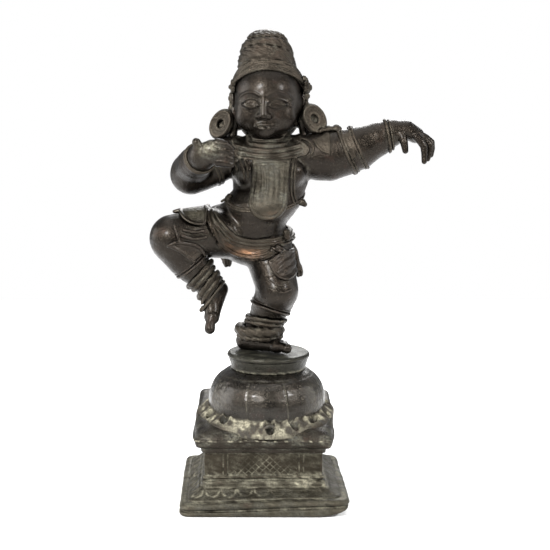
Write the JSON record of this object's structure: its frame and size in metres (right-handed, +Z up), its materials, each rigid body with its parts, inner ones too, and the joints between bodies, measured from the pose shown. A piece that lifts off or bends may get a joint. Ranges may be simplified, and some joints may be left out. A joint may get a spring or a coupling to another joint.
{
  "type": "dancing figure statuette",
  "caption": "Cast statuette of a dancing figure on one bent leg, one arm outstretched and one raised, on a domed lotus pedestal and a moulded square plinth.",
  "frame": {"origin": "middle of the plinth's underside", "axes": "+Z up through the figure, -Y towards the front that the figure faces, +X to the viewer's right (the figure's own left)"},
  "size_m": [0.1071, 0.0671, 0.1802],
  "materials": {
    "skin_bronze": "dark brown patina over cast bronze, semi-gloss, worn lighter on raised places",
    "hair_bronze": "dark brown patina with grey-green in the grooves",
    "jewellery_bronze": "brown patina with grey-green in the grooves, worn edges",
    "cloth_bronze": "brown patina, worn to copper colour on the front",
    "lotus_bronze": "dark brown patina, semi-gloss, pale deposits round the petals",
    "plinth_bronze": "dusty olive-brown patina, pale deposits in the grooves",
    "fixing_bronze": "unpolished cast metal, hidden inside"
  },
  "bodies": {
    "root": {"plinth_base": "plinth_bronze", "plinth_die": "plinth_bronze", "lotus_slab": "lotus_bronze", "lotus_petals": "lotus_bronze", "lotus_dome": "lotus_bronze", "lotus_collar": "lotus_bronze", "figure_tenon": "fixing_bronze", "tenon_pin": "fixing_bronze", "pelvis": "skin_bronze", "torso": "skin_bronze", "neck": "skin_bronze", "head": "skin_bronze", "hair_cap": "hair_bronze", "topknot": "hair_bronze", "diadem": "jewellery_bronze", "hair_bun": "hair_bronze", "ear_right": "skin_bronze", "ear_left": "skin_bronze", "earring_right": "jewellery_bronze", "earring_left": "jewellery_bronze", "ear_flower_right": "jewellery_bronze", "ear_flower_left": "jewellery_bronze", "upper_arm_right": "skin_bronze", "forearm_right": "skin_bronze", "hand_right": "skin_bronze", "upper_arm_left": "skin_bronze", "forearm_left": "skin_bronze", "hand_left": "skin_bronze", "thigh_right": "skin_bronze", "shin_right": "skin_bronze", "foot_right": "skin_bronze", "thigh_left": "skin_bronze", "shin_left": "skin_bronze", "foot_left": "skin_bronze", "necklace": "jewellery_bronze", "breast_pendant": "jewellery_bronze", "sacred_thread": "jewellery_bronze", "chest_band": "jewellery_bronze", "hip_belt": "jewellery_bronze", "apron": "cloth_bronze", "sash_tail_right": "cloth_bronze", "sash_tail_left": "cloth_bronze", "thigh_cloth_right": "cloth_bronze", "thigh_cloth_left": "cloth_bronze", "armlet_right": "jewellery_bronze", "armlet_left": "jewellery_bronze", "bangle_right": "jewellery_bronze", "bangle_left": "jewellery_bronze", "calf_band_right": "jewellery_bronze", "calf_band_left": "jewellery_bronze", "anklets_right": "jewellery_bronze", "anklets_left": "jewellery_bronze"}
  },
  "joints": []
}
